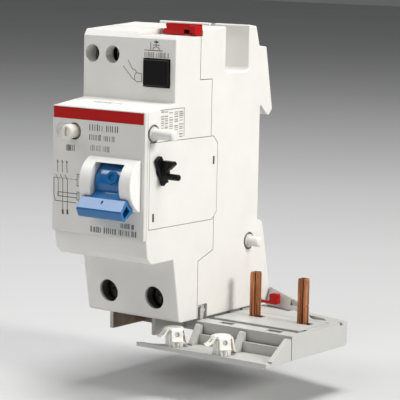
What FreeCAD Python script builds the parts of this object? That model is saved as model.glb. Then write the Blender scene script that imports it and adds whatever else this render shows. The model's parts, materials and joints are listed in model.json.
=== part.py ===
import FreeCAD, Part
import math
import os

# Residual current device of the add-on kind: a body two modules wide, with a bay beside it
# that takes a two-pole breaker. Millimetres. X runs from the body's left side, Y backwards
# from the front of the nose, Z upwards from the nose's middle; save() moves everything to
# the row's origin, which is on the rail face behind the body.

# ---- driving dimensions ----
MODULE = 17.5                      # width of one pole
BODY_W = 2 * MODULE
BAY_R = 4 * MODULE                 # right end of the breaker bay
WALL = 1.6
LEFT_WALL = 1.2
RIGHT_WALL = 2.0
GAP = 0.2                          # parting gap between mouldings
SLIP = 0.3                         # room around pieces that move
RUN = 0.05                         # radial clearance of shafts and pins that turn

PLATE_T = 1.2                      # face plate
PLATE_Z = (-15.8, 21.9)
NOSE_TOP = 21.9
SHOULDER_Y = 13.9
SHOULDER_TOP = 42.1
ROOF_Z = 45.5
BODY_BOTTOM = -42.4
VALLEY_Y = (38.9, 51.0)            # open valley across the top
VALLEY_FLOOR = 31.5
RAIL_FACE_Y = 57.8                 # face that meets the 35 mm rail
RAIL_TOP = 20.4
RAIL_MID = RAIL_TOP - 17.5

TOGGLE_YZ = (3.44, 0.25)           # axis of the toggle and of its rounded housing
HUMP_R = 8.39
HUMP_X = (14.3, 33.6)
WINDOW_X = (18.5, 29.4)
WINDOW_Z = (-6.9, 6.4)
HANDLE_X = (15.6, 32.2)
TOGGLE_REST = -40                  # degrees above straight ahead
DRUM_R = 6.2
MARK_X = 25.0                      # raised ring on the drum: middle, radii and height
MARK_R = (1.2, 2.0)
MARK_H = 0.45
AXLE_R = 1.0

TEST_XZ = (7.8, 14.5)
TEST_R = 2.15
TEST_DISH = (4.0, 8.5, 2.5)        # ends of the dish's middle line, radius
RELEASE_X = (23.3, 32.7)
RELEASE_Z = (28.2, 36.1)
COVER_Y = (2.3, 35.5)
COVER_Z = (-12.5, 12.7)
COVER_T = 1.1
COUPLER_YZ = (7.0, 4.3)            # axis of the trip coupler's shaft
SHAFT_R = 1.6
UPPER_DOWEL_YZ = (4.0, 15.4)
LOWER_DOWEL_YZ = (53.2, -21.4)
DOWEL_R = 1.6
DOWEL_HUB_R = 2.1
DOWEL_POCKET_R = 2.7

TERMINAL_X = (MODULE / 2, 1.5 * MODULE)
TERMINAL_Z = -35.5
TERMINAL_HOLE_R = 3.5
AUX_X = (3.5, 11.2)
AUX_Z = 36.8
AUX_HOLE_R = 2.65

TRAY_TOP = -42.8
TRAY_BOTTOM = -50.1
LEDGE_Y = (26.2, 31.6)
PLATE_FRONT = 34.4                 # front edge of the contact plate, behind the tray's groove
PIN_X = (2.5 * MODULE, 3.5 * MODULE)
PIN_Y = 45.0
PIN_HALF = (1.45, 1.25)
PIN_TOP = -29.1
BUSBAR_Z = (-46.4, -45.2)
FIN_X = (0.4, 16.9)
FLAP_AXIS = (27.2, -49.1)
FLAP_PIN_R = 0.5
FLAP_FRONT = 13.0
FLAP_T = 0.9
RIB_X = (37.2, 53.2, 69.25)
PLUG_X = (34.3, 51.8)
PLUG_Y = 16.6
PETALS = ((-37, 4.0, 3.8), (53, 3.9, 4.7), (143, 4.1, 3.8), (233, 5.2, 2.8))
KNUCKLE_X = ((42.0, 46.0), (59.0, 63.0))

CORE_XYZ = (17.5, 34.0, -14.0)     # middle of the current transformer
WIRE_R = 1.3
RELAY_X = (16.6, 32.6)
RELAY_Z = (2.0, 17.0)
PLUNGER_XZ = (30.9, 9.6)
CRANK_X = (29.8, 32.0)
BOARD_Y = (31.2, 32.6)

os.makedirs("parts", exist_ok=True)
V = FreeCAD.Vector


# ---- small modelling helpers ----
def block(x, y, z):
    return Part.makeBox(x[1] - x[0], y[1] - y[0], z[1] - z[0], V(x[0], y[0], z[0]))


def rod(axis, centre, radius, span):
    """Cylinder along an axis; centre holds the two other coordinates in X, Y, Z order."""
    a, b = centre
    low, length = span[0], span[1] - span[0]
    start = {"X": V(low, a, b), "Y": V(a, low, b), "Z": V(a, b, low)}[axis]
    turn = {"X": V(1, 0, 0), "Y": V(0, 1, 0), "Z": V(0, 0, 1)}[axis]
    return Part.makeCylinder(radius, length, start, turn)


def rounded_wire(points, lift):
    """Closed wire through the points; a point's third value is the radius of its corner."""
    edges = []
    ends = []
    for i, point in enumerate(points):
        before = V(*points[i - 1][:2], 0)
        corner = V(*point[:2], 0)
        after = V(*points[(i + 1) % len(points)][:2], 0)
        radius = point[2] if len(point) > 2 else 0
        if not radius:
            ends.append((corner, corner, None))
            continue
        u = (before - corner).normalize()
        v = (after - corner).normalize()
        half = u.getAngle(v) / 2
        bisector = (u + v).normalize()
        middle = corner + bisector * (radius / math.sin(half) - radius)
        cut = radius / math.tan(half)
        ends.append((corner + u * cut, corner + v * cut, middle))
    for i, (start, end, middle) in enumerate(ends):
        if middle:
            edges.append(Part.Arc(lift(start), lift(middle), lift(end)).toShape())
        following = ends[(i + 1) % len(ends)][0]
        if end.distanceToPoint(following) > 1e-6:
            edges.append(Part.LineSegment(lift(end), lift(following)).toShape())
    return Part.Wire(edges)


def prism_x(points, x):
    wire = rounded_wire(points, lambda p: V(x[0], p.x, p.y))
    return Part.Face(wire).extrude(V(x[1] - x[0], 0, 0))


def prism_y(points, y):
    wire = rounded_wire(points, lambda p: V(p.x, y[0], p.y))
    return Part.Face(wire).extrude(V(0, y[1] - y[0], 0))


def prism_z(points, z):
    wire = rounded_wire(points, lambda p: V(p.x, p.y, z[0]))
    return Part.Face(wire).extrude(V(0, 0, z[1] - z[0]))


def wide(span, by):
    return (span[0] - by, span[1] + by)


def join(first, *others):
    return first.fuse(list(others)).removeSplitter()


def soften(shape, radius, wanted):
    """Fillet the edges whose bounding box satisfies the test."""
    edges = [e for e in shape.Edges if wanted(e.BoundBox)]
    return shape.makeFillet(radius, edges)


def flat_at(axis, value):
    """Edges that lie wholly in the plane axis = value."""
    low, high = axis + "Min", axis + "Max"
    return lambda b: abs(getattr(b, low) - value) < 1e-4 and abs(getattr(b, high) - value) < 1e-4


def bent_wire(points, radius, bend):
    """Round wire along straight runs joined by tangent arcs of one bend radius."""
    corners = [V(*p) for p in points]
    edges = []
    start = corners[0]
    for before, corner, after in zip(corners, corners[1:], corners[2:]):
        u = (before - corner).normalize()
        v = (after - corner).normalize()
        half = u.getAngle(v) / 2
        cut = bend / math.tan(half)
        entry, leave = corner + u * cut, corner + v * cut
        middle = corner + (u + v).normalize() * (bend / math.sin(half) - bend)
        edges.append(Part.LineSegment(start, entry).toShape())
        edges.append(Part.Arc(entry, middle, leave).toShape())
        start = leave
    edges.append(Part.LineSegment(start, corners[-1]).toShape())
    path = Part.Wire(edges)
    section = Part.Wire(Part.Circle(corners[0], corners[1] - corners[0], radius).toShape())
    return path.makePipeShell([section], True, False)


def coil(axis, centre, mean_r, wire_r, span, turns):
    """Helical spring along Y or X."""
    low, high = span[0] + wire_r, span[1] - wire_r
    helix = Part.makeHelix((high - low) / turns, high - low, mean_r)
    section = Part.Wire(Part.Circle(V(mean_r, 0, 0), V(0, 1, 0), wire_r).toShape())
    spring = Part.Wire(helix).makePipeShell([section], True, True)
    if axis == "Y":
        spring.rotate(V(0, 0, 0), V(1, 0, 0), -90)
        spring.translate(V(centre[0], low, centre[1]))
    else:
        spring.rotate(V(0, 0, 0), V(0, 1, 0), 90)
        spring.translate(V(low, centre[0], centre[1]))
    return spring


def about_toggle(distance, degrees, offset=0.0):
    """Point at a distance from the toggle's axis, measured in degrees above straight ahead."""
    a = math.radians(degrees)
    y = TOGGLE_YZ[0] - distance * math.cos(a) + offset * math.sin(a)
    z = TOGGLE_YZ[1] + distance * math.sin(a) + offset * math.cos(a)
    return (y, z)


# ---- housing ----
def body_outline():
    return [
        (PLATE_T + 0.1, NOSE_TOP, 0.3), (SHOULDER_Y, 23.5, 0.3),
        (SHOULDER_Y, SHOULDER_TOP, 0.4), (15.1, 44.0, 0.5),
        (VALLEY_Y[0], ROOF_Z, 0.5), (VALLEY_Y[0], VALLEY_FLOOR, 1.6),
        (VALLEY_Y[1], VALLEY_FLOOR, 1.6), (VALLEY_Y[1], ROOF_Z + 0.2, 0.5),
        (54.9, 45.2, 0.5), (56.8, 39.1, 0.5), (60.6, 38.7, 0.6),
        (64.5, 19.1, 0.5), (62.8, 17.3, 0.5), (61.3, 17.8, 0.4),
        (RAIL_FACE_Y, 20.9, 0.3), (RAIL_FACE_Y, -15.0, 0.5),
        (60.4, -16.0, 0.6), (62.6, -24.3, 1.0), (66.3, BODY_BOTTOM, 0.8),
        (18.0, BODY_BOTTOM, 1.3), (14.5, -22.8, 0.3), (4.0, -23.0, 1.6),
        (2.0, -21.0, 0.8), (PLATE_T + 0.1, -16.0, 0.2),
    ]


def cavity_outline():
    front = PLATE_T + 0.1 + WALL
    return [
        (front, NOSE_TOP - WALL), (15.5, NOSE_TOP), (15.5, 41.0), (37.0, 41.0),
        (37.0, 29.8), (52.8, 29.8), (52.8, 37.0), (58.6, 37.0), (60.9, 25.0),
        (55.9, 23.0), (55.9, -16.8), (58.8, -17.4), (60.9, -25.2), (64.2, -40.8),
        (19.8, -40.8), (16.4, -21.2), (4.4, -21.2), (front, -15.0),
    ]


def front_region():
    """Side view of everything in front of the line where the two mouldings part."""
    return [
        (-20, 60), (26.0, 60), (26.0, 29.9), (32.0, 29.9), (32.0, 0.0),
        (34.2, 0.0), (34.2, -21.9), (26.6, -24.6), (26.8, -60), (-20, -60),
    ]


def body_shell():
    outer = prism_x(body_outline(), (0, BODY_W))
    outer = soften(outer, 0.4, flat_at("X", 0))
    outer = soften(outer, 0.4, flat_at("X", BODY_W))
    return outer.cut(prism_x(cavity_outline(), (LEFT_WALL, BODY_W - RIGHT_WALL)))


def parting_face(grow):
    face = Part.Face(rounded_wire(front_region(), lambda p: V(0, p.x, p.y)))
    if grow:
        face = face.makeOffset2D(grow, 2)
    face.translate(V(-5, 0, 0))
    return face.extrude(V(BODY_W + 10, 0, 0))


def cover_outline(grow):
    cut = 2.2
    y, z = wide(COVER_Y, grow), wide(COVER_Z, grow)
    return [(y[0], z[0], 0.4), (y[1] - cut, z[0], 0.3), (y[1], z[0] + cut, 0.3),
            (y[1], z[1] - cut, 0.3), (y[1] - cut, z[1], 0.3), (y[0], z[1], 0.4)]


def cover_recess():
    return prism_x(cover_outline(0.15), (BODY_W - COVER_T - 0.05, BODY_W + 1))


def clip_channel():
    """Lowered corner of the roof and the undercut that the top clip slides in."""
    relief = block((20.6, BODY_W + 1), (SHOULDER_Y - 1, 26.9), (42.9, ROOF_Z + 3))
    undercut = block((20.6, BODY_W - 0.7), (26.7, 28.7), (42.9, 44.5))
    return relief.fuse(undercut)


def cable_entries():
    entries = [block(wide((x, x), 4.0), (26.0, 34.5), (-44, -40)) for x in TERMINAL_X]
    return Part.Compound(entries)


def front_housing():
    shell = body_shell().common(parting_face(0))
    inside = (LEFT_WALL - 0.2, BODY_W - RIGHT_WALL + 0.2)
    additions = []
    for x in TERMINAL_X:
        additions.append(rod("Y", (x, TERMINAL_Z), TERMINAL_HOLE_R + 1.0, (17.6, 20.8)))
    for x in AUX_X:
        chimney = rod("Y", (x, AUX_Z), AUX_HOLE_R + 0.8, (15.0, 17.6))
        additions.append(chimney.common(block((0.3, 20), (10, 20), (30, 42))))
    additions.append(block(inside, (16.5, 31.0), (0.4, RELAY_Z[0])))
    additions.append(block((LEFT_WALL - 0.2, 15.0), (15.0, 25.7), (32.6, 33.8)))
    additions.append(block((21.5, inside[1]), (21.0, 22.4), (26.5, 40.0)))
    additions.append(block((LEFT_WALL - 0.2, 11.8), (7.6, 8.8), (9.5, 21.2)))
    housing = join(shell, *additions)
    release = ((RELEASE_X[0] + RELEASE_X[1]) / 2, (RELEASE_Z[0] + RELEASE_Z[1]) / 2)
    cuts = [cover_recess(), clip_channel(), cable_entries()]
    for x in TERMINAL_X:
        cuts.append(rod("Y", (x, TERMINAL_Z), TERMINAL_HOLE_R, (10, 22)))
    for x in AUX_X:
        cuts.append(rod("Y", (x, AUX_Z), AUX_HOLE_R, (10, 18)))
    cuts.append(block(wide(RELEASE_X, SLIP), (10, 15.6), wide(RELEASE_Z, SLIP)))
    cuts.append(rod("Y", release, 1.5 + RUN, (20, 24)))
    cuts.append(block((14.2, BODY_W - RIGHT_WALL - 0.1), (0, 3.5), (-7.2, 7.7)))
    cuts.append(rod("Y", TEST_XZ, TEST_R + RUN, (0, 4)))
    cuts.append(rod("Y", TEST_XZ, 1.2 + RUN, (7, 10)))
    cuts.append(rod("X", COUPLER_YZ, SHAFT_R + RUN, (30, BODY_W + 1)))
    cuts.append(rod("X", UPPER_DOWEL_YZ, DOWEL_POCKET_R, (BODY_W - 0.9, BODY_W + 1)))
    cuts.append(rod("X", UPPER_DOWEL_YZ, DOWEL_HUB_R, (BODY_W - RIGHT_WALL - 1, BODY_W)))
    return housing.cut(cuts)


def rear_housing():
    shell = body_shell().cut(parting_face(GAP))
    shelf = block((LEFT_WALL - 0.2, BODY_W - RIGHT_WALL + 0.2), (38.5, 56.2), (-22.6, -20.9))
    housing = join(shell, shelf)
    cuts = [cover_recess(), clip_channel(), cable_entries()]
    for x, y in CONDUCTOR_DROPS:
        cuts.append(rod("Z", (x, y), WIRE_R + 0.4, (BODY_BOTTOM - 1, -20)))
    cuts.append(block((BODY_W - 1.1, BODY_W + 1), (27.2, 31.8), (BODY_BOTTOM - 1, -38.2)))
    cuts.append(rod("X", LOWER_DOWEL_YZ, DOWEL_POCKET_R, (BODY_W - 0.9, BODY_W + 1)))
    cuts.append(rod("X", LOWER_DOWEL_YZ, DOWEL_HUB_R, (BODY_W - RIGHT_WALL - 1, BODY_W)))
    cuts.append(block((29.8, BODY_W + 1), (59.0, 61.0), (-42.05, -40.5)))
    cuts.append(block((19.6, 22.0), (VALLEY_Y[1] - 1, VALLEY_Y[1] + 1.4), (44.5, 47)))
    return housing.cut(cuts)


def face_plate():
    """Plate on the nose, moulded in one with the rounded housing of the toggle."""
    outline = [(0, PLATE_Z[0], 0.6), (BODY_W, PLATE_Z[0], 0.6),
               (BODY_W, PLATE_Z[1], 0.6), (0, PLATE_Z[1], 0.6)]
    plate = soften(prism_y(outline, (0, PLATE_T)), 0.35, flat_at("Y", 0))
    hump = rod("X", TOGGLE_YZ, HUMP_R, HUMP_X)
    hump = soften(hump, 0.4, lambda b: b.XLength < 1e-4)
    hump = hump.common(block((0, BODY_W), (-20, PLATE_T), (-20, 20)))
    cheeks = []
    for x in ((HUMP_X[0] + 0.3, WINDOW_X[0]), (WINDOW_X[1], BODY_W - RIGHT_WALL - 0.4)):
        cheeks.append(block(x, (0.5, 5.1), (-2.1, 2.5)))
    plate = join(plate, hump, *cheeks)
    window = block(WINDOW_X, (-12, 6), WINDOW_Z)
    mark_sweep = math.hypot(DRUM_R + MARK_H, MARK_R[1])
    mark_room = rod("X", TOGGLE_YZ, mark_sweep + SLIP, wide((MARK_X,) * 2, MARK_R[1] + SLIP))
    low, high, radius = TEST_DISH
    z = TEST_XZ[1]
    scoop = Part.makeSphere(1.0, V(0, 0, 0), V(0, 0, 1), -90, 90, 360)
    stretch = FreeCAD.Matrix()
    stretch.scale(radius + 0.3, 0.8, radius)
    scoop = scoop.transformGeometry(stretch)
    scoop.translate(V(low + 0.3, 0, z))
    pocket = rod("Y", (high, z), radius, (-1, 2))
    middle = block((low + 0.3, high), (-1, 0.6), wide((z, z), radius * 0.8))
    cuts = [window, mark_room, scoop, pocket, middle, stripe_shape(),
            rod("Y", TEST_XZ, TEST_R + RUN, (-2, 3)),
            rod("X", TOGGLE_YZ, AXLE_R, (HUMP_X[0] + 1.0, BODY_W - RIGHT_WALL - 0.1))]
    return plate.cut(cuts)


def stripe_shape():
    return block((0, BODY_W - 0.6), (0, 0.45), (18.1, 21.5))


def red_stripe():
    """Coloured strip let into the top of the face plate."""
    strip = stripe_shape()
    return strip.common(block((0.3, BODY_W), (0.12, 1), (10, 30)))


def side_cover():
    cover = prism_x(cover_outline(0), (BODY_W - COVER_T, BODY_W))
    windows = [block((30, 40), wide((33.7, 33.7), 0.45), wide((5.4, 5.4), 1.2)),
               block((30, 40), wide((4.3, 4.3), 0.45), wide((-9.2, -9.2), 1.2)),
               rod("X", COUPLER_YZ, SHAFT_R + RUN, (30, 40))]
    return cover.cut(windows)


def dowel(centre, tip_x):
    """Locating dowel that points at the breaker, with a waist below its head."""
    hub = rod("X", centre, DOWEL_HUB_R, (BODY_W - RIGHT_WALL, BODY_W + 0.3))
    pin = rod("X", centre, DOWEL_R, (BODY_W, tip_x))
    pin = pin.makeChamfer(0.45, [e for e in pin.Edges if flat_at("X", tip_x)(e.BoundBox)])
    slit = block((tip_x - 1.9, tip_x - 1.3), (centre[0] - 3, centre[0] + 3),
                 (centre[1] - 3, centre[1] - DOWEL_R + 0.5))
    return join(hub, pin).cut(slit)


# ---- toggle ----
def toggle_lever():
    """Drum, web and hollow handle bar in one blue moulding, drawn in the off position."""
    drum_x = wide(WINDOW_X, -SLIP)
    rest = TOGGLE_REST
    drum = rod("X", TOGGLE_YZ, DRUM_R, drum_x)
    front = [about_toggle(9, rest, 9), about_toggle(9, rest, -9),
             about_toggle(-1.8, rest, -9), about_toggle(-1.8, rest, 9)]
    drum = drum.common(prism_x(front, drum_x))
    hub = rod("X", TOGGLE_YZ, 2.9, drum_x)
    web = [about_toggle(2.0, rest, 1.9), about_toggle(10.2, rest, 1.9),
           about_toggle(10.2, rest, -1.2), about_toggle(2.0, rest, -1.2)]
    web = prism_x(web, drum_x)
    section = [(-4.8, -3.3, 0.4), (-7.4, -6.9, 0.8), (-6.1, -9.9, 0.9), (-1.5, -7.1, 0.5)]
    bar = prism_x(section, HANDLE_X)
    bar = bar.cut(rod("X", TOGGLE_YZ, HUMP_R + SLIP, wide(HUMP_X, 1)))
    hollow = [(-4.6, -5.0, 0.3), (-6.4, -7.2, 0.3), (-5.6, -8.7, 0.3), (-3.0, -6.8, 0.3)]
    hollow = prism_x(hollow, (HANDLE_X[1] - 4.5, HANDLE_X[1] + 1))
    lever = join(drum, hub, web, bar.cut(hollow))
    mark = 19
    surface, sunk = about_toggle(DRUM_R, mark), about_toggle(DRUM_R - 0.5, mark)
    outward = V(0, surface[0] - sunk[0], surface[1] - sunk[1]).normalize()
    centre = V(MARK_X, *about_toggle(DRUM_R - 0.6, mark))
    ring = Part.makeCylinder(MARK_R[1], MARK_H + 0.6, centre, outward)
    ring = ring.cut(Part.makeCylinder(MARK_R[0], MARK_H + 0.6, centre, outward))
    lever = join(lever, ring)
    spring_room = rod("X", TOGGLE_YZ, 2.6, (drum_x[0] - 1, drum_x[0] + 3.0))
    slit = block((23.75, 24.25), (-7.4, -5.4), (-6.4, -4.2))
    groove = prism_x([about_toggle(14.5, rest, 2.0), about_toggle(14.5, rest, 2.6),
                      about_toggle(9, rest, 2.6), about_toggle(9, rest, 2.0)], (23.75, 24.25))
    return lever.cut([rod("X", TOGGLE_YZ, AXLE_R + RUN, wide(drum_x, 1)), spring_room,
                      slit.common(groove)])


def toggle_axle():
    return rod("X", TOGGLE_YZ, AXLE_R, (HUMP_X[0] + 1.2, BODY_W - RIGHT_WALL - 0.4))


def toggle_spring():
    """Return spring wound round the axle in the drum's left side."""
    low = WINDOW_X[0] + SLIP
    return coil("X", TOGGLE_YZ, 1.75, 0.3, (low + 0.1, low + 2.8), 3)


# ---- buttons ----
def test_button():
    """Domed button with a screwdriver slot, held by a flange behind the nose wall."""
    front = -3.2
    head = rod("Y", TEST_XZ, TEST_R, (front, 3.6))
    head = soften(head, 0.75, flat_at("Y", front))
    flange = rod("Y", TEST_XZ, TEST_R + 0.9, (3.4, 4.4))
    stem = rod("Y", TEST_XZ, 1.2, (4.0, 9.0))
    slot = block(wide((TEST_XZ[0],) * 2, 0.3), (front - 1, front + 0.8),
                 wide((TEST_XZ[1],) * 2, 1.2))
    return join(head, flange, stem).cut(slot)


def test_button_spring():
    return coil("Y", TEST_XZ, 1.85, 0.25, (4.45, 7.55), 4)


def test_contact_spring():
    """Leaf that the test button presses; its foot lies on the relay's shelf."""
    blade = block((5.2, 9.2), (11.0, 11.4), (2.0, 17.5))
    foot = block((5.2, 9.2), (11.0, 24.0), (RELAY_Z[0], RELAY_Z[0] + 0.4))
    return join(blade, foot)


def release_button():
    """Square black button with rounded edges, a flange behind the wall and a guided stem."""
    x, z = RELEASE_X, RELEASE_Z
    middle = ((x[0] + x[1]) / 2, (z[0] + z[1]) / 2)
    outline = [(x[0], z[0], 0.7), (x[1], z[0], 0.7), (x[1], z[1], 0.7), (x[0], z[1], 0.7)]
    front = SHOULDER_Y - 0.9
    cap = soften(prism_y(outline, (front, 16.2)), 0.5, flat_at("Y", front))
    flange = block((x[0] - 1.0, x[1]), (15.9, 16.9), wide(z, 0.9))
    stem = rod("Y", middle, 1.5, (16.5, 25.5))
    return join(cap, flange, stem)


def release_button_spring():
    middle = (sum(RELEASE_X) / 2, sum(RELEASE_Z) / 2)
    return coil("Y", middle, 2.4, 0.3, (16.95, 20.95), 4)


# ---- coupling to the breaker ----
def trip_coupler():
    """Black fork outside the side cover that trips and is tripped by the breaker."""
    x = BODY_W + SLIP
    blade = [(4.0, 7.6, 0.2), (6.1, 8.9, 0.2), (7.5, 7.0, 0.4), (8.4, 4.0, 0.5),
             (9.7, 0.9, 0.2), (8.5, 0.8), (7.4, -0.1, 0.2), (6.4, 2.2, 0.5)]
    blade = prism_x(blade, (x, x + 1.1))
    boss = prism_x([(5.9, 7.3, 0.3), (8.0, 7.3, 0.3), (8.4, 2.0, 0.3), (6.6, 2.0, 0.3)],
                   (x, x + 2.6))
    upper = [(x + 1.0, 7.6, 0.3), (40.2, 7.5, 0.5), (40.7, 6.7, 0.4), (38.6, 4.9, 0.5),
             (x + 1.0, 4.5)]
    upper = prism_y(upper, (6.0, 7.9))
    lower = soften(rod("X", (7.2, 2.95), 0.95, (x + 1.0, 42.3)), 0.7, flat_at("X", 42.3))
    fork = join(blade, boss, upper, lower)
    return fork.cut(rod("X", COUPLER_YZ, SHAFT_R - 0.5, (BODY_W, x + 2.0)))


def trip_shaft():
    shaft = rod("X", COUPLER_YZ, SHAFT_R, (CRANK_X[0], BODY_W + SLIP))
    return join(shaft, rod("X", COUPLER_YZ, SHAFT_R - 0.5, (BODY_W, BODY_W + SLIP + 2.0)))


def trip_crank():
    """Arm on the inner end of the shaft that the relay's plunger strikes."""
    y, z = COUPLER_YZ
    arm = [(y - 1.7, z - 1.9, 1.1), (y + 2.0, z - 1.9, 1.1), (y + 1.2, z + 6.8, 0.6),
           (y - 1.2, z + 6.8, 0.6)]
    return prism_x(arm, CRANK_X).cut(rod("X", COUPLER_YZ, SHAFT_R, (20, 40)))


def trip_relay():
    case = block(RELAY_X, (14.6, BOARD_Y[0]), RELAY_Z)
    edges = [e for e in case.Edges if e.BoundBox.YLength > 10]
    case = case.makeFillet(0.6, edges)
    return case.cut(rod("Y", PLUNGER_XZ, 1.0 + RUN, (14, 22)))


def relay_plunger():
    return rod("Y", PLUNGER_XZ, 1.0, (COUPLER_YZ[0] + 1.75, 20.0))


def top_clip():
    """Red slide across the roof that locks the breaker's top; a channel with a finger grip."""
    left, right = 22.0, BODY_W
    profile = [(right, 43.1, 0.3), (right, 46.4, 0.4), (left + 0.9, 46.4, 0.4),
               (left + 1.4, 44.9, 0.2), (left, 44.4, 0.2), (left, 43.1, 0.2)]
    bar = prism_y(profile, (24.4, 26.6))
    tongue = block((left + 2, 27.6), (26.4, 28.4), (43.1, 44.3))
    grip = block((32.9, right), (22.9, 24.6), (43.1, 46.1))
    grip = soften(grip, 0.35, flat_at("Y", 22.9))
    cuts = [block((left - 1, right + 1), (25.2, 25.9), (45.8, 47)),
            block((29.8, 32.1), (24, 25.1), (43.5, 44.7)),
            block((28.0, 32.1), (25.0, 27), (43.5, 44.7)),
            block((33.3, right + 1), (22.5, 23.4), (43.0, 43.9))]
    return join(bar, tongue, grip).cut(cuts)


def bottom_clip():
    """Red slide on the tray that locks the breaker's foot."""
    arm = block((BODY_W - 1.6, 39.4), (59.4, 60.6), (-41.7, -40.9))
    head = block((39.4, 42.3), (59.0, 60.8), (-41.7, -38.4))
    head = soften(head, 0.5, lambda b: b.YLength > 1.7)
    rib = block((39.1, 42.6), (59.2, 60.6), (-39.5, -39.0))
    return join(arm, head, rib)


# ---- tray, plate and flap ----
def rear_line(x):
    """Slanted rear edge of the tray."""
    return 56.3 + (BAY_R - x) * 0.26


def tray_gusset():
    """Low wall along the rear edge that rises towards the body, with a sloping front."""
    left = BODY_W + GAP
    front = prism_y([(left, -37.6), (48.0, -39.9), (53.0, TRAY_TOP), (53.0, -46.0),
                     (left, -46.0)], (50, 70))
    strip = [(left, rear_line(left) - 2.2), (54.0, rear_line(54.0) - 2.2),
             (54.0, rear_line(54.0)), (left, rear_line(left))]
    wall = front.common(prism_z(strip, (-46, -30)))
    edge = V(54.0 - left, rear_line(54.0) - rear_line(left), 0).normalize()
    slope = Part.makeBox(30, 6, 12, V(-5, -6, 0))
    slope.rotate(V(0, 0, 0), V(1, 0, 0), -22)
    slope.rotate(V(0, 0, 0), V(0, 0, 1), math.degrees(math.atan2(edge.y, edge.x)))
    slope.translate(V(left, rear_line(left) - 2.2, TRAY_TOP))
    return wall.cut(slope)


def base_tray():
    """Tray under the body and the bay; it carries the pins and hooks up into the body."""
    z = (TRAY_BOTTOM, TRAY_TOP)
    left = BODY_W + GAP
    plan = [(left, LEDGE_Y[0]), (BAY_R, LEDGE_Y[0]), (BAY_R, rear_line(BAY_R)),
            (left, rear_line(left))]
    platform = prism_z(plan, z)
    rear_slope = prism_x([(55.2, z[0] - 5), (55.2, z[0]), (56.4, z[0] + 1.0),
                          (75, z[0] + 1.0), (75, z[0] - 5)], (-5, 75))
    platform = platform.cut(rear_slope)
    front = LEDGE_Y[0]
    platform = platform.cut(prism_x([(front - 1, z[0] - 1), (front + 1.5, z[0] - 1),
                                     (front + 0.5, z[0]), (front, z[0] + 0.5),
                                     (front - 1, z[0] + 1.5)], (30, 75)))
    beam = block((FIN_X[0], left + 1), (43.5, 56.2), (z[0], BODY_BOTTOM - GAP))
    beam = beam.cut([block((BODY_W, BODY_W + 3), (40, 65), (TRAY_TOP, -40)), rear_slope])
    fins = [block((x, x + 1.3), (28.0, 44.0), (z[0] + 0.2, BODY_BOTTOM - GAP))
            for x in FIN_X]
    arm = [(28.6, -45.0), (30.0, -45.0), (30.0, -41.0), (31.0, -40.2), (30.2, -39.1, 0.4),
           (28.6, -39.1, 0.6)]
    arm = prism_x(arm, (BODY_W - 0.9, BODY_W - 0.1))
    arm_root = block((BODY_W - 0.9, BODY_W + 1.5), (28.6, 30.0), (-45.5, TRAY_TOP))
    tray = join(platform, tray_gusset(), beam, *fins, arm, arm_root)
    floor = z[0] + 1.5
    cuts = [
        block((left + 1.8, 65.6), (35.0, 49.2), (floor, -40)),
        block((left - 1, 67.2), (PLATE_FRONT - 0.3, 50.6), (TRAY_TOP - 1.7, -40)),
        block((left - 1, 68.4), (LEDGE_Y[1], PLATE_FRONT - 0.2), (-46.0, -40)),
        block((67.0, 68.4), (LEDGE_Y[1], 37.0), (-46.0, -40)),
        block((11.0, 65.6), (46.0, 54.6), (floor, TRAY_TOP - 1.9)),
        block((11.0, BODY_W - 1), (46.0, 54.6), (floor, -40)),
        block((69.0, 71.0), (52.2, 53.6), (-43.6, -40)),
        prism_z([(36.6, 60.4), (47.6, 57.6), (47.6, 59.9), (36.6, 62.6)], (-44.0, -40)),
        prism_z([(55.5, 57.2), (62.4, 55.3), (64.6, 53.0), (60.4, 52.2), (58.6, 53.4)],
                (-43.8, -40)),
        prism_z([(46.0, 61.6), (49.4, 60.8), (49.4, 59.0), (46.0, 59.8)], (-41.6, -30)),
    ]
    for x in ((41.7, 46.7), (58.7, 64.1)):
        cuts.append(block(x, (28.3, 30.8), (-47.5, -40)))
    for x in KNUCKLE_X:
        cuts.append(block(wide(x, 0.2), (20, FLAP_AXIS[0] + 1.3), (-60, FLAP_AXIS[1] + 1.2)))
        cuts.append(rod("X", FLAP_AXIS, FLAP_PIN_R, wide(x, 1.4)))
    tray = tray.cut(cuts)
    posts = [block((x, x + 2.0), (45.8, 54.8), (floor - 0.2, BUSBAR_Z[0])) for x in (26, 48)]
    return join(tray, *posts)


def contact_plate():
    """Loose insulating plate in the tray's top; the copper pins stand up through it."""
    outline = [(BODY_W + 0.5, PLATE_FRONT, 0.3), (67.0, PLATE_FRONT, 0.6), (67.0, 50.4, 0.3),
               (BODY_W + 0.5, 50.4, 0.3)]
    plate = prism_z(outline, (TRAY_TOP - 1.6, TRAY_TOP))
    cuts = []
    for x in PIN_X:
        cuts.append(block((x - PIN_HALF[0] - 0.15, x + 3.1),
                          wide((PIN_Y,) * 2, PIN_HALF[1] + 0.15), (-50, -40)))
    return plate.cut(cuts)


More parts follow.
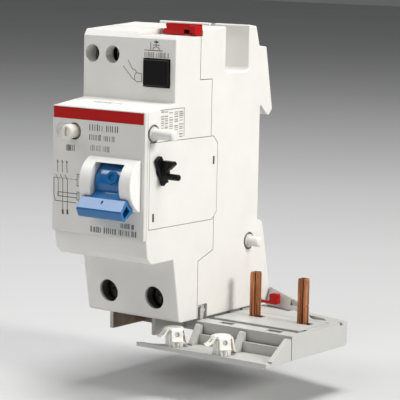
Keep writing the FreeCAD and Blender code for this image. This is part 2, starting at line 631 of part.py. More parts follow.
def contact_pin(x):
    """Folded copper pin: a groove down its front, a bevelled top and a nick half way up."""
    a, b = PIN_HALF
    outline = [(x - a, PIN_Y - b, 0.4), (x + 0.4, PIN_Y - b), (x + 0.4, PIN_Y - b + 0.7),
               (x + 0.85, PIN_Y - b + 0.7), (x + 0.85, PIN_Y - b), (x + a, PIN_Y - b, 0.3),
               (x + a, PIN_Y + b, 0.4), (x - a, PIN_Y + b, 0.4)]
    pin = prism_z(outline, (BUSBAR_Z[1], PIN_TOP))
    bevel = [(x - a - 1, BUSBAR_Z[1]), (x - a - 1, -40), (x - a, -40), (x - a, PIN_TOP - 1.6),
             (x - a + 0.35, PIN_TOP), (x + a - 0.35, PIN_TOP), (x + a, PIN_TOP - 1.6),
             (x + a, -40), (x + a + 1, -40), (x + a + 1, BUSBAR_Z[1])]
    pin = pin.common(prism_y(bevel, (PIN_Y - 4, PIN_Y + 4)))
    flange = block(wide((x, x), a + 0.6), wide((PIN_Y,) * 2, b + 0.5),
                   (BUSBAR_Z[1], BUSBAR_Z[1] + 0.6))
    nick = block((x + a - 0.25, x + a + 1), (PIN_Y - 4, PIN_Y + 4), (-37.6, -37.1))
    return join(pin, flange).cut(nick)


def busbar(start_x, pin_x, y):
    """Copper strip in the tray from under the body to one pin."""
    half = PIN_HALF[0] + 0.3
    plan = [(start_x, y[0]), (pin_x - half, y[0]), (pin_x - half, PIN_Y - half),
            (pin_x + half, PIN_Y - half), (pin_x + half, y[1]), (start_x, y[1])]
    return prism_z(plan, BUSBAR_Z)


def terminal_flap():
    """Hinged shelf under the breaker's foot: floor, three ribs, rear bar and two knuckles."""
    z = (TRAY_BOTTOM, TRAY_BOTTOM + FLAP_T)
    back = LEDGE_Y[0] - 0.3
    plan = [(22.8, FLAP_FRONT), (BAY_R, FLAP_FRONT), (BAY_R, back), (35.4, back),
            (34.2, 21.5, 1.5), (30.0, 17.0, 3.0)]
    floor = prism_z(plan, z)
    lip = prism_z([(22.8, FLAP_FRONT), (BAY_R, FLAP_FRONT), (BAY_R, FLAP_FRONT + 0.8),
                   (24.4, FLAP_FRONT + 0.8)], (z[0], z[1] + 0.35))
    pieces = [lip]
    for x, foot in zip(RIB_X, (20.6, 20.6, 16.0)):
        side = [(foot, z[0] + 0.4), (back, z[0] + 0.4), (back, -43.5, 0.6), (24.3, -43.3, 0.7),
                (foot, z[1] + 0.5)]
        pieces.append(prism_x(side, wide((x, x), 0.75)))
    pieces.append(block((RIB_X[0], RIB_X[2]), (24.0, 24.9), (z[0] + 0.4, -46.2)))
    for x in KNUCKLE_X:
        pieces.append(rod("X", FLAP_AXIS, 0.95, x))
        pieces.append(block(x, (back - 0.5, FLAP_AXIS[0]), (z[0], z[0] + 0.8)))
    flap = join(floor, *pieces)
    bores = [rod("X", FLAP_AXIS, FLAP_PIN_R + RUN, wide(x, 1)) for x in KNUCKLE_X]
    return flap.cut(bores)


def flap_hinge_pins():
    return Part.Compound([rod("X", FLAP_AXIS, FLAP_PIN_R, wide(x, 1.3)) for x in KNUCKLE_X])


def petal(top, degrees, reach, drop):
    """One flared petal of a plug's cap; reach is its tip's radius, drop its length."""
    flare = 3.2 + 0.35 * (reach - 3.2)
    profile = [(1.8, top - 0.1), (2.4, top - 0.1), (2.9, top - 0.5), (3.2, top - 0.45 * drop),
               (flare, top - 0.75 * drop), (reach, top - drop), (reach - 0.5, top - drop - 0.2),
               (flare - 0.5, top - 0.75 * drop - 0.2), (2.7, top - 0.45 * drop - 0.2),
               (2.4, top - 0.9), (1.8, top - 0.9)]
    leaf = prism_y(profile, (-1.7, 1.7))
    leaf = leaf.cut(rod("X", (0, top - 1.8), 0.75, (2.6, 5)))
    leaf.rotate(V(0, 0, 0), V(0, 0, 1), degrees)
    return leaf


def screw_plug(x):
    """Tulip-shaped plug: a fluted stalk under a cap with four flared petals."""
    base = TRAY_BOTTOM + FLAP_T
    top = TRAY_TOP - 0.5
    pieces = []
    for i in range(12):
        a = math.radians(30 * i)
        pieces.append(rod("Z", (2.2 * math.cos(a), 2.2 * math.sin(a)), 0.45,
                          (base, top - 1.5)))
    for degrees, reach, drop in PETALS:
        pieces.append(petal(top, degrees, reach, drop))
    cap = soften(rod("Z", (0, 0), 2.7, (top - 0.9, top)), 0.35, flat_at("Z", top))
    plug = join(rod("Z", (0, 0), 2.25, (base, top - 0.8)), cap, *pieces)
    plug.translate(V(x, PLUG_Y, 0))
    return plug


# ---- terminals and what is inside ----
def terminal_cage(x, z_mid, half_x, y, z, wall, screw_r):
    """Open-ended clamp frame with a hole for its screw in the front wall."""
    outer = block(wide((x, x), half_x), y, z)
    inner = block(wide((x, x), half_x - wall), wide(y, -wall), wide(z, 1))
    hole = rod("Y", (x, z_mid), screw_r, (y[0] - 1, y[0] + wall + 0.5))
    return outer.cut([inner, hole])


def terminal_screw(x, z, head_r, head_y, tip_y):
    """Screw with a crossed slot in its head."""
    head = rod("Y", (x, z), head_r, head_y)
    head = soften(head, 0.3, flat_at("Y", head_y[0]))
    shank = rod("Y", (x, z), head_r * 0.6, (head_y[1] - 0.2, tip_y))
    slots = [block(wide((x, x), 0.4), (head_y[0] - 1, head_y[0] + 1.1), wide((z, z), head_r)),
             block(wide((x, x), head_r * 0.62), (head_y[0] - 1, head_y[0] + 1.1),
                   wide((z, z), 0.35))]
    return join(head, shank).cut(slots)


def terminal_screws():
    return Part.Compound([terminal_screw(x, TERMINAL_Z, 3.1, (21.0, 23.5), 31.0)
                          for x in TERMINAL_X])


def aux_terminal_screws():
    return Part.Compound([terminal_screw(x, AUX_Z, 1.9, (18.0, 20.0), 25.5)
                          for x in (AUX_X[0] + 0.1, AUX_X[1])])


def transformer_core():
    x, y, z = CORE_XYZ
    ring = rod("Z", (x, y), 11.4, (z - 5.9, z + 5.9))
    return ring.cut(rod("Z", (x, y), 5.6, (z - 8, z + 8)))


def transformer_winding():
    """Secondary winding: a close sleeve of copper wire round most of the core."""
    x, y, z = CORE_XYZ
    outer = rod("Z", (x, y), 12.2, (z - 6.7, z + 6.7))
    hollow = rod("Z", (x, y), 11.5, (z - 6.0, z + 6.0))
    hollow = hollow.cut(rod("Z", (x, y), 5.5, (z - 8, z + 8)))
    sleeve = outer.cut([hollow, rod("Z", (x, y), 4.9, (z - 8, z + 8))])
    opening = prism_z([(x, y), (x - 10, y - 20), (x + 10, y - 20)], (z - 8, z + 8))
    return sleeve.cut(opening)


def circuit_board():
    return block((3.0, 31.0), BOARD_Y, (1.0, 27.5))


def test_resistor():
    body = rod("Z", (8.0, 28.4), 1.6, (6.0, 15.0))
    body = soften(body, 0.5, lambda b: b.ZLength < 1e-4)
    leads = [rod("Y", (8.0, z), 0.35, (28.4, BOARD_Y[0])) for z in (6.9, 14.1)]
    return join(body, *leads)


def capacitor():
    body = rod("Y", (9.0, 22.0), 3.0, (24.4, BOARD_Y[0]))
    return soften(body, 0.6, lambda b: b.YMax < 25)


CONDUCTOR_DROPS = ((15.3, 48.4), (19.7, 52.5))


def load_conductor(index):
    """Main conductor: from the clamp, up through the transformer, back and down to the tray."""
    terminal_x = TERMINAL_X[index]
    x, y = CONDUCTOR_DROPS[index]
    clamp_y = 33.0
    route = [(terminal_x, clamp_y, -38.5), (terminal_x, clamp_y, -28.0),
             (x, CORE_XYZ[1], -22.5 - 3.5), (x, CORE_XYZ[1], -3.2), (x, y, -3.2),
             (x, y, BUSBAR_Z[1])]
    return bent_wire(route, WIRE_R, 2.9)


def save(name, shape):
    shape.translate(V(-BODY_W / 2, -RAIL_FACE_Y, -RAIL_MID))
    if shape.ShapeType == "Compound" and len(shape.Solids) == 1:
        shape = shape.Solids[0]
    shape.exportStep("parts/%s.step" % name)
    print("%-24s solids %d valid %s volume %.1f" % (
        name, len(shape.Solids), shape.isValid(), shape.Volume))


NODES = {
    "front_housing": front_housing,
    "rear_housing": rear_housing,
    "face_plate": face_plate,
    "red_stripe": red_stripe,
    "side_cover": side_cover,
    "upper_dowel": lambda: dowel(UPPER_DOWEL_YZ, 43.0),
    "lower_dowel": lambda: dowel(LOWER_DOWEL_YZ, 39.6),
    "toggle_lever": toggle_lever,
    "toggle_axle": toggle_axle,
    "toggle_spring": toggle_spring,
    "test_button": test_button,
    "test_button_spring": test_button_spring,
    "test_contact_spring": test_contact_spring,
    "release_button": release_button,
    "release_button_spring": release_button_spring,
    "trip_coupler": trip_coupler,
    "trip_shaft": trip_shaft,
    "trip_crank": trip_crank,
    "trip_relay": trip_relay,
    "relay_plunger": relay_plunger,
    "top_clip": top_clip,
    "bottom_clip": bottom_clip,
    "base_tray": base_tray,
    "contact_plate": contact_plate,
    "contact_pin_1": lambda: contact_pin(PIN_X[0]),
    "contact_pin_2": lambda: contact_pin(PIN_X[1]),
    "busbar_1": lambda: busbar(13.5, PIN_X[0], (46.8, 49.8)),
    "busbar_2": lambda: busbar(17.9, PIN_X[1], (51.0, 54.0)),
    "terminal_flap": terminal_flap,
    "flap_hinge_pins": flap_hinge_pins,
    "screw_plug_1": lambda: screw_plug(PLUG_X[0]),
    "screw_plug_2": lambda: screw_plug(PLUG_X[1]),
    "terminal_cage_1": lambda: terminal_cage(TERMINAL_X[0], TERMINAL_Z, 5.2, (23.7, 36.0),
                                             (-40.7, -31.0), 1.3, 1.9),
    "terminal_cage_2": lambda: terminal_cage(TERMINAL_X[1], TERMINAL_Z, 5.2, (23.7, 36.0),
                                             (-40.7, -31.0), 1.3, 1.9),
    "terminal_screws": terminal_screws,
    "aux_terminal_cage_1": lambda: terminal_cage(AUX_X[0] + 0.1, AUX_Z, 2.2, (20.3, 28.3),
                                                 (33.9, 39.6), 0.7, 1.2),
    "aux_terminal_cage_2": lambda: terminal_cage(AUX_X[1], AUX_Z, 2.2, (20.3, 28.3),
                                                 (33.9, 39.6), 0.7, 1.2),
    "aux_terminal_screws": aux_terminal_screws,
    "transformer_core": transformer_core,
    "transformer_winding": transformer_winding,
    "circuit_board": circuit_board,
    "test_resistor": test_resistor,
    "capacitor": capacitor,
    "load_conductor_1": lambda: load_conductor(0),
    "load_conductor_2": lambda: load_conductor(1),
}

for node_name, make in NODES.items():
    save(node_name, make())
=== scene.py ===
"""Residual current device of the add-on kind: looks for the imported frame."""
import bmesh
import bpy
import json
import math
import random
from mathutils import Matrix, Vector


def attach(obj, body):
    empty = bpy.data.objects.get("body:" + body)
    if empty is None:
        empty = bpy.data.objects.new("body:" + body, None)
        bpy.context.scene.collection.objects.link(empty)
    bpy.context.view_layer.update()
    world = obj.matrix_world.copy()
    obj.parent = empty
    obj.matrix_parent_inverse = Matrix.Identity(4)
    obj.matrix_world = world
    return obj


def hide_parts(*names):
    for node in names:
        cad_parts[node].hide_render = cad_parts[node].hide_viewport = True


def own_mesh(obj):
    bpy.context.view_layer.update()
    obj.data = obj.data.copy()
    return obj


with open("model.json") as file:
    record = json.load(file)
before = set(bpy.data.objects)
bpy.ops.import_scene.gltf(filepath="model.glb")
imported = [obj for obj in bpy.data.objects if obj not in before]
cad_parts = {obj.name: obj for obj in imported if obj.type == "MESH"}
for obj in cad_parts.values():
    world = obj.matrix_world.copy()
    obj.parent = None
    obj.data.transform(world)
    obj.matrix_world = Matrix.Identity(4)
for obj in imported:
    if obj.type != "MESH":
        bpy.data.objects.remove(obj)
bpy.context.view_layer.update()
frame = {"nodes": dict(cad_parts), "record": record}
NODES = frame["nodes"]
MM = 0.001
ORIGIN = Vector((17.5, 57.8, 2.9))      # the frame's origin, as place() counts
BODY_W = 35.0                           # width of the body, mm


def place(x, y, z):
    """Metres for millimetres right of the body's left side, behind the plate's front, and up."""
    return (Vector((x, y, z)) - ORIGIN) * MM


# ---- materials ----
MIX_A, MIX_B, MIX_RESULT = 6, 7, 2      # colour sockets of the Mix node


class Nodes:
    """Small builder for a node tree."""

    def __init__(self, name):
        self.material = bpy.data.materials.new(name)
        self.material.use_nodes = True
        self.tree = self.material.node_tree
        self.shader = self.tree.nodes["Principled BSDF"]
        self.position = self.add("ShaderNodeTexCoord").outputs["Object"]

    def add(self, kind, **values):
        node = self.tree.nodes.new(kind)
        for key, value in values.items():
            setattr(node, key, value)
        return node

    def link(self, source, target):
        self.tree.links.new(source, target)

    def stretched(self, scale):
        mapping = self.add("ShaderNodeMapping")
        mapping.inputs["Scale"].default_value = scale
        self.link(self.position, mapping.inputs["Vector"])
        return mapping.outputs["Vector"]

    def noise(self, scale, detail=2.0, stretch=(1, 1, 1), roughness=0.5):
        node = self.add("ShaderNodeTexNoise")
        node.inputs["Scale"].default_value = scale
        node.inputs["Detail"].default_value = detail
        node.inputs["Roughness"].default_value = roughness
        self.link(self.stretched(stretch), node.inputs["Vector"])
        return node.outputs["Fac"]

    def ramp(self, value, stops):
        node = self.add("ShaderNodeValToRGB")
        elements = node.color_ramp.elements
        while len(elements) < len(stops):
            elements.new(0.5)
        for element, (where, colour) in zip(elements, stops):
            element.position = where
            element.color = (*colour, 1)
        self.link(value, node.inputs["Fac"])
        return node.outputs["Color"]

    def spread(self, value, low, high, start=0.3, end=0.7):
        node = self.add("ShaderNodeMapRange")
        node.inputs["From Min"].default_value = start
        node.inputs["From Max"].default_value = end
        node.inputs["To Min"].default_value = low
        node.inputs["To Max"].default_value = high
        self.link(value, node.inputs["Value"])
        return node.outputs["Result"]

    def bump(self, value, distance, strength=1.0, normal=None):
        node = self.add("ShaderNodeBump")
        node.inputs["Distance"].default_value = distance
        node.inputs["Strength"].default_value = strength
        self.link(value, node.inputs["Height"])
        if normal:
            self.link(normal, node.inputs["Normal"])
        return node.outputs["Normal"]

    def math(self, operation, *terms):
        """Math node on sockets and plain numbers."""
        node = self.add("ShaderNodeMath", operation=operation)
        for entry, term in zip(node.inputs, terms):
            if isinstance(term, (int, float)):
                entry.default_value = term
            else:
                self.link(term, entry)
        return node.outputs["Value"]

    def axes(self):
        node = self.add("ShaderNodeSeparateXYZ")
        self.link(self.position, node.inputs["Vector"])
        return node.outputs

    def tint(self, where, colour):
        """Blend the base colour towards another one where a value rises to 1."""
        entry = self.shader.inputs["Base Color"]
        old = entry.links[0].from_socket
        node = self.add("ShaderNodeMix", data_type="RGBA")
        self.link(where, node.inputs["Factor"])
        self.link(old, node.inputs[MIX_A])
        node.inputs[MIX_B].default_value = (*colour, 1)
        self.link(node.outputs[MIX_RESULT], entry)

    def paint_crease_shade(self, reach, colour):
        """Painted shade: darken narrow gaps and inside corners no wider than reach, by ambient
        occlusion.
        """
        node = self.add("ShaderNodeAmbientOcclusion", samples=6)
        node.inputs["Distance"].default_value = reach
        crease_shade_amount = self.spread(node.outputs["AO"], 0.78, 0.0, start=0.15, end=0.72)
        self.tint(crease_shade_amount, colour)

    def rounded(self, radius):
        node = self.add("ShaderNodeBevel", samples=4)
        node.inputs["Radius"].default_value = radius
        return node.outputs["Normal"]


def shade(colour, factor):
    return tuple(min(1.0, c * factor) for c in colour)


def plastic(name, colour, roughness=0.42, grain=0.012, edge=0.18, specular=0.45, coat=0.0,
            subsurface=0.0):
    """Moulded plastic: fine spark-eroded grain, slight mottling and softly rounded edges."""
    n = Nodes(name)
    mottle = n.noise(90, 3)
    n.link(n.ramp(mottle, [(0.3, shade(colour, 0.965)), (0.7, shade(colour, 1.02))]),
           n.shader.inputs["Base Color"])
    n.link(n.spread(n.noise(260, 3), roughness - 0.05, roughness + 0.06),
           n.shader.inputs["Roughness"])
    fine = n.bump(n.noise(5200, 2), grain * MM, 0.6, n.rounded(edge * MM))
    n.link(fine, n.shader.inputs["Normal"])
    n.shader.inputs["Specular IOR Level"].default_value = specular
    n.shader.inputs["Coat Weight"].default_value = coat
    n.shader.inputs["Coat Roughness"].default_value = 0.15
    n.shader.inputs["Subsurface Weight"].default_value = subsurface
    n.shader.inputs["Subsurface Scale"].default_value = 0.0012
    return n


WHITE = (0.80, 0.785, 0.75)
# these place the painted shade inside the two terminal shafts
SHAFT_OFFSET, SHAFT_Z = 8.75, -35.5     # axes of the terminal shafts, from the body's middle
SHAFT_REACH = 4.6                       # radius that takes in a shaft's wall
SHAFT_Y = (17.2, 44.0)                  # from the mouth to behind the clamp
MOUTH_LEAN = 0.18                       # slope of the face that holds the mouths


def housing(name):
    """Housing plastic with painted shade in its narrow gaps and inside corners, and painted
    shade inside its two deep terminal shafts.
    """
    n = plastic(name, WHITE, 0.44)
    n.paint_crease_shade(2.2 * MM, (0.16, 0.15, 0.135))
    # painted shade: the terminal shafts' walls darken towards black the farther in they go
    x, y, z = n.axes()
    across = n.math("SUBTRACT", n.math("ABSOLUTE", x), SHAFT_OFFSET * MM)
    up = n.math("SUBTRACT", z, place(0, 0, SHAFT_Z).z)
    squares = n.math("ADD", n.math("MULTIPLY", across, across), n.math("MULTIPLY", up, up))
    in_reach = n.math("LESS_THAN", n.math("SQRT", squares), SHAFT_REACH * MM)
    in_front = n.math("LESS_THAN", y, place(0, SHAFT_Y[1], 0).y)
    mouth = n.math("MULTIPLY_ADD", up, -MOUTH_LEAN, place(0, SHAFT_Y[0], 0).y)
    deep = n.spread(n.math("SUBTRACT", y, mouth), 0.0, 0.97, start=0.0, end=0.9 * MM)
    shaft_shade_mask = n.math("MULTIPLY", in_reach, in_front)
    n.tint(n.math("MULTIPLY", shaft_shade_mask, deep), (0.03, 0.028, 0.026))
    return n


HUMP_Y = -0.4                           # the toggle's housing starts in front of this


def face(name):
    """Grey satin plate with painted shade in its narrow gaps and inside corners; the toggle's
    rounded housing on it is whiter, partly its own paler plastic and partly a painted highlight.
    """
    n = plastic(name, (0.73, 0.72, 0.69), 0.38)
    # the toggle's housing is tinted whiter: partly its own colour, partly a painted highlight
    hump_tint_and_highlight = n.math("LESS_THAN", n.axes()["Y"], place(0, HUMP_Y, 0).y)
    n.tint(hump_tint_and_highlight, (0.85, 0.845, 0.82))
    n.paint_crease_shade(1.6 * MM, (0.12, 0.115, 0.105))
    return n


# where the painted copper reflection goes on the tray
POCKET_X, POCKET_END = (1.65, 16.95), 44.0      # between two fins, and how far back it reaches


def tray(name):
    """Tray plastic with painted shade in its narrow gaps and inside corners; the space between
    the fins under the body gets a painted warm reflection of the copper.
    """
    n = plastic(name, (0.53, 0.53, 0.505), 0.40)
    n.paint_crease_shade(2.6 * MM, (0.15, 0.145, 0.135))
    x, y = n.axes()["X"], n.axes()["Y"]
    left, right = (place(side, 0, 0).x for side in POCKET_X)
    between = n.math("MULTIPLY", n.math("GREATER_THAN", x, left), n.math("LESS_THAN", x, right))
    in_front = n.math("LESS_THAN", y, place(0, POCKET_END, 0).y)
    cloud = n.spread(n.noise(260, 3), 0.7, 0.98)
    # painted reflection: copper's warm colour between the fins
    copper_reflection_mask = n.math("MULTIPLY", between, in_front)
    n.tint(n.math("MULTIPLY", copper_reflection_mask, cloud), (0.17, 0.085, 0.035))
    return n


def copper(name):
    """Drawn copper with dull streaks along its length."""
    n = Nodes(name)
    streak = n.noise(700, 4, (1.0, 1.0, 0.06), 0.65)
    n.link(n.ramp(streak, [(0.36, (0.045, 0.014, 0.006)), (0.50, (0.36, 0.13, 0.05)),
                           (0.66, (0.80, 0.36, 0.19))]), n.shader.inputs["Base Color"])
    n.shader.inputs["Metallic"].default_value = 0.75
    n.link(n.spread(n.noise(420, 3, (1, 1, 0.2)), 0.28, 0.5), n.shader.inputs["Roughness"])
    lines = n.bump(n.noise(2600, 3, (1, 1, 0.02)), 0.02 * MM, 0.7, n.rounded(0.15 * MM))
    n.link(lines, n.shader.inputs["Normal"])
    return n


def plated_steel(name, colour=(0.62, 0.61, 0.58)):
    """Steel with a cloudy plating."""
    n = Nodes(name)
    cloud = n.noise(500, 4)
    n.link(n.ramp(cloud, [(0.3, shade(colour, 0.7)), (0.7, shade(colour, 1.1))]),
           n.shader.inputs["Base Color"])
    n.shader.inputs["Metallic"].default_value = 1.0
    n.link(n.spread(n.noise(900, 3), 0.25, 0.42), n.shader.inputs["Roughness"])
    n.link(n.bump(n.noise(3000, 2), 0.01 * MM, 0.5, n.rounded(0.1 * MM)),
           n.shader.inputs["Normal"])
    return n


def laminate(name):
    """Circuit board: green lacquer over a faint weave."""
    n = Nodes(name)
    wave = n.add("ShaderNodeTexWave")
    wave.inputs["Scale"].default_value = 900
    n.link(n.position, wave.inputs["Vector"])
    n.link(n.ramp(wave.outputs["Fac"], [(0.2, (0.02, 0.16, 0.06)), (0.8, (0.03, 0.24, 0.09))]),
           n.shader.inputs["Base Color"])
    n.link(n.spread(n.noise(300), 0.25, 0.4), n.shader.inputs["Roughness"])
    return n


SLOT_MATERIALS = {
    "housing_plastic": housing("housing"),
    "face_plastic": face("face"),
    "red_plastic": plastic("red", (0.46, 0.004, 0.003), 0.32, 0.006, 0.12, specular=0.3),
    "blue_plastic": plastic("blue", (0.004, 0.135, 0.37), 0.20, 0.004, 0.2, specular=0.5,
                            coat=0.3),
    "black_plastic": plastic("black", (0.004, 0.004, 0.0045), 0.42, 0.01, 0.2, specular=0.2),
    "button_plastic": plastic("button", (0.78, 0.75, 0.68), 0.24, 0.004, 0.15, specular=0.5,
                              coat=0.2),
    "tray_plastic": tray("tray"),
    "plug_plastic": plastic("plug", (0.86, 0.845, 0.79), 0.16, 0.004, 0.15, specular=0.6,
                            coat=0.4, subsurface=0.25),
    "copper": copper("copper"),
    "steel": plated_steel("steel"),
    "relay_case": plastic("relay_case", (0.035, 0.038, 0.045), 0.38),
    "ferrite": plastic("ferrite", (0.03, 0.03, 0.032), 0.55),
    "board": laminate("board"),
    "resistor_body": plastic("resistor", (0.45, 0.27, 0.14), 0.28),
}
# steel darkened as painted shade for the terminal screws inside their shafts
SHADED_SCREW_STEEL = plated_steel("shaded_screw_steel", (0.16, 0.15, 0.14))
INK = plastic("ink", (0.085, 0.083, 0.08), 0.5, 0.004, 0.01)
FAINT_INK = plastic("faint_ink", (0.30, 0.295, 0.28), 0.5, 0.004, 0.01)


def finishes():
    """Give each CAD node the material of its slot; the terminal screws get a darker steel as
    painted shade, for they sit far inside their shafts.
    """
    for part in frame["record"]["subparts"]:
        finish = SLOT_MATERIALS[part["material_slot"]]
        if "terminal_screws" in part["node"]:
            finish = SHADED_SCREW_STEEL
        materials = NODES[part["node"]].data.materials
        materials.clear()
        materials.append(finish.material)


finishes()


# ---- printed marks ----
RAISED, SUNK = 0.03, 0.02               # a print's height above and below the surface, mm
LINE = 0.2                              # width of a printed line, mm
FINE_LINE, BOLD_LINE = 0.15, 0.25       # other widths, mm
SHOULDER_Y = 13.9                       # the upper shoulder's front face
ROOF_START, ROOF_RISE = (1.3, 21.9), 0.127      # depth and height where the nose's roof starts


def stroke(*points, width=LINE):
    """Quads of one width along the straight runs through points in a face's own plane."""
    quads = []
    for (a, b), (c, d) in zip(points, points[1:]):
        half = width / 2 / math.hypot(c - a, d - b)
        u, v = (c - a) * half, (d - b) * half
        a, b, c, d = a - u, b - v, c + u, d + v
        quads.append([(a - v, b + u), (c - v, d + u), (c + v, d - u), (a + v, b - u)])
    return quads


def boxed(low, high):
    """Outline of a rectangle from its lower left and upper right corners."""
    (a, b), (c, d) = low, high
    return stroke((a, b), (c, b), (c, d), (a, d), (a, b))


def ticks(span, height, seed, upright=True, pitch=0.62):
    """Row of plain ticks along span in place of lettering, with a gap after every sixth."""
    dice = random.Random(seed)
    quads = []
    low, high = height
    position, count = span[0], 0
    while position < span[1]:
        thick = dice.uniform(0.18, 0.42)
        ends = [(position, low), (position, high - 0.15 * (high - low) * dice.random())]
        if not upright:
            ends = [(v, u) for u, v in ends]
        quads += stroke(*ends, width=thick)
        position += pitch * dice.uniform(0.75, 1.2)
        count += 1
        if count % 6 == 0:
            position += pitch * 0.8
    return quads


def printed(name, quads, lift, finish=INK):
    """One thin piece from flat quads; lift turns two coordinates and a depth into a point."""
    mesh = bpy.data.meshes.new(name)
    build = bmesh.new()
    for quad in quads:
        top = [build.verts.new(lift(a, b, -RAISED)) for a, b in quad]
        foot = [build.verts.new(lift(a, b, SUNK)) for a, b in quad]
        build.faces.new(top)
        build.faces.new(foot)
        for i in range(4):
            j = (i + 1) % 4
            build.faces.new((top[i], top[j], foot[j], foot[i]))
    bmesh.ops.recalc_face_normals(build, faces=build.faces)
    build.to_mesh(mesh)
    build.free()
    piece = bpy.data.objects.new(name, mesh)
    bpy.context.scene.collection.objects.link(piece)
    mesh.materials.append(finish.material)
    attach(piece, "base")


def on_face(a, b, depth):
    return place(a, depth, b)


def on_shoulder(a, b, depth):
    return place(a, SHOULDER_Y + depth, b)


def on_side(a, b, depth):
    return place(BODY_W - depth, a, b)


def on_nose_roof(a, b, depth):
    rise = (b - ROOF_START[0]) * ROOF_RISE
    return place(a, b, ROOF_START[1] + rise - depth)


def wiring_diagram():
    """Three poles with their contacts, the trip link, the sum transformer and the relay."""
    quads = []
    for x, end in ((2.0, -5.3), (3.8, -9.6), (5.6, -9.5)):
        quads += stroke((x, 5.3), (x + 0.2, 2.0))
        quads += stroke((x - 0.6, 1.1), (x + 0.35, -0.4), (x + 0.45, end))
        quads += stroke((x - 0.1, 5.3), (x + 0.3, 4.9), width=0.3)
        if end < -9:
            quads += stroke((x + 0.45, end), (x + 0.5, end - 0.7), width=0.7)
    for i in range(6):
        quads += stroke((0.7 + 1.6 * i, 0.15), (1.7 + 1.6 * i, 0.12), width=FINE_LINE)
    quads += stroke((0.7, 0.15), (0.75, -5.0), (1.3, -6.8), (9.4, -6.8))
    quads += stroke((10.0, -4.1), (2.3, -4.1), (2.3, -5.3), (9.6, -5.3))
    quads += boxed((9.7, -1.7), (10.4, 1.8))
    quads += boxed((9.7, -5.9), (10.5, -3.5))
    return quads


def finger():
    """Outline of a finger that points at the release button."""
    upper = stroke((17.3, 35.3), (18.8, 33.0), (20.1, 32.5), (20.5, 31.8), (22.3, 31.7),
                   (22.4, 29.3), (20.6, 29.1), (19.7, 29.8), (19.8, 31.0), (20.3, 31.8),
                   width=BOLD_LINE)
    lower = stroke((15.5, 33.5), (17.1, 31.9), (18.9, 30.1), (19.7, 29.6), width=BOLD_LINE)
    return upper + lower


def relay_sign():
    """Line drawing of a relay with its armature."""
    quads = stroke((25.6, 41.0), (25.7, 38.8)) + stroke((23.4, 38.7), (30.0, 38.7))
    quads += stroke((26.5, 38.8), (26.6, 39.5), (27.7, 39.9), (28.7, 39.5), (28.9, 38.8))
    quads += stroke((26.5, 40.3), (28.8, 40.3)) + stroke((27.7, 41.8), (27.7, 40.3))
    return quads + stroke((27.2, 41.2), (28.2, 41.2), width=0.5)


def side_table():
    """Framed table on the side of the nose; its lines of print run upwards."""
    quads = stroke((7.0, 22.05), (18.4, 22.15), (18.5, 13.8), width=BOLD_LINE)
    for left, right, low, seed in ((7.5, 8.7, 16.8, 1), (9.3, 10.5, 16.8, 2),
                                   (11.4, 12.9, 16.5, 3), (13.9, 15.4, 13.8, 4),
                                   (16.2, 17.8, 13.8, 5)):
        quads += ticks((low, 21.5), (left, right), seed, upright=False, pitch=0.7)
    return quads


def prints():
    """All printed marks; the third value that ticks() gets is its seed."""
    printed("print_diagram", wiring_diagram(), on_face)
    lines = ticks((14.3, 25.6), (15.3, 17.0), 11, pitch=0.9)
    lines += ticks((14.3, 24.1), (12.5, 14.0), 12, pitch=0.8)
    printed("print_lines", lines, on_face)
    printed("print_small_line", ticks((14.8, 21.6), (9.4, 10.9), 13, pitch=0.7), on_face,
            FAINT_INK)
    printed("print_button_mark", ticks((5.4, 9.3), (8.7, 10.3), 14, pitch=0.6), on_face)
    printed("print_foot", ticks((15.3, 32.4), (-14.6, -13.2), 15, pitch=0.75), on_face)
    printed("print_foot_small", ticks((26.6, 31.7), (-12.4, -11.2), 16), on_face)
    printed("print_relay", relay_sign(), on_shoulder)
    printed("print_relay_line", ticks((23.5, 32.4), (36.9, 38.1), 17), on_shoulder,
            FAINT_INK)
    printed("print_finger", finger(), on_shoulder, FAINT_INK)
    printed("print_side", side_table(), on_side, FAINT_INK)
    printed("print_roof", ticks((9.0, 20.0), (7.6, 9.0), 18), on_nose_roof, FAINT_INK)


prints()


def button_spring(node, joint):
    """Coil copied from a spring's CAD node onto the base, where the node itself is hidden."""
    coil = bpy.data.objects.new("coil_of_" + joint, NODES[node].data.copy())
    bpy.context.scene.collection.objects.link(coil)
    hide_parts(node)
    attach(coil, "base")
    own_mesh(coil)


def springs():
    button_spring("test_button_spring", "test_button_press")
    button_spring("release_button_spring", "release_button_press")


springs()


# ---- floor, light and camera ----
FLOOR_Z = -0.067                        # low enough for the shelf to swing down
FLOOR_SIZE = 6
LIGHTS_AIM = (30, 30, 0)
LIGHTS = (                              # name, location, size, power and colour
    ("key", (0.88, 0.06, 0.36), 0.30, 6.4, (1.0, 0.99, 0.965)),
    ("top", (0.08, 0.03, 0.97), 0.42, 7.8, (1, 1, 1)),
    ("front", (0.05, -0.78, 0.62), 0.5, 1.5, (1.0, 0.99, 0.97)),
    ("fill", (-0.58, -0.38, 0.66), 0.42, 2.6, (0.98, 0.99, 1.0)),
)
YAW, PITCH, ROLL = 36.29, 7.78, 1.17    # degrees: right of the front, above, tilt
CAMERA_AT = (374.2, -434.8, 72.2)
FOCAL_LENGTH, SENSOR = 173.7, 36        # mm


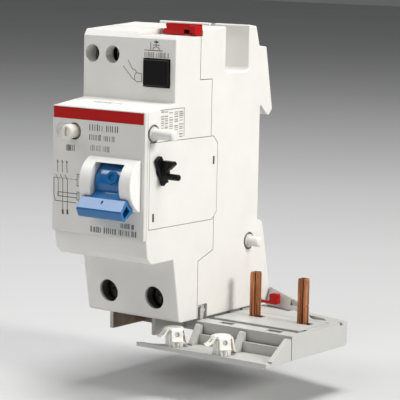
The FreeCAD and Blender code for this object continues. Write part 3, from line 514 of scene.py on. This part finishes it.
def floor():
    bpy.ops.mesh.primitive_plane_add(size=FLOOR_SIZE, location=(0, 0, FLOOR_Z))
    plane = bpy.context.object
    plane.name = "floor"
    n = Nodes("floor")
    n.link(n.ramp(n.noise(3), [(0.3, (0.60, 0.60, 0.60)), (0.7, (0.63, 0.63, 0.63))]),
           n.shader.inputs["Base Color"])
    n.shader.inputs["Roughness"].default_value = 0.7
    plane.data.materials.append(n.material)


def lamp(name, location, size, power, colour):
    """Round soft light aimed at LIGHTS_AIM."""
    light = bpy.data.lights.new(name, "AREA")
    light.shape = "DISK"
    light.size = size
    light.energy = power
    light.color = colour
    holder = bpy.data.objects.new(name, light)
    bpy.context.scene.collection.objects.link(holder)
    holder.location = location
    aim = place(*LIGHTS_AIM) - Vector(location)
    holder.rotation_euler = aim.to_track_quat("-Z", "Y").to_euler()


def lights():
    for light in LIGHTS:
        lamp(*light)
    world = bpy.data.worlds.new("studio")
    bpy.context.scene.world = world
    world.use_nodes = True
    background = world.node_tree.nodes["Background"]
    background.inputs["Color"].default_value = (0.93, 0.94, 0.95, 1)
    background.inputs["Strength"].default_value = 0.13


def camera():
    data = bpy.data.cameras.new("camera")
    data.lens = FOCAL_LENGTH
    data.sensor_width = SENSOR
    data.clip_start = 0.01
    rig = bpy.data.objects.new("camera", data)
    bpy.context.scene.collection.objects.link(rig)
    yaw, pitch, roll = (math.radians(a) for a in (YAW, PITCH, ROLL))
    forward = Vector((-math.sin(yaw) * math.cos(pitch), math.cos(yaw) * math.cos(pitch),
                      -math.sin(pitch)))
    right = Vector((math.cos(yaw), math.sin(yaw), 0))
    up = right.cross(forward)
    tilted_right = math.cos(roll) * right + math.sin(roll) * up
    tilted_up = math.cos(roll) * up - math.sin(roll) * right
    turn = Matrix((tilted_right, tilted_up, -forward)).transposed()
    rig.matrix_world = Matrix.Translation(place(*CAMERA_AT)) @ turn.to_4x4()
    bpy.context.scene.camera = rig


floor()
lights()
camera()
bpy.context.scene.view_settings.view_transform = "Standard"
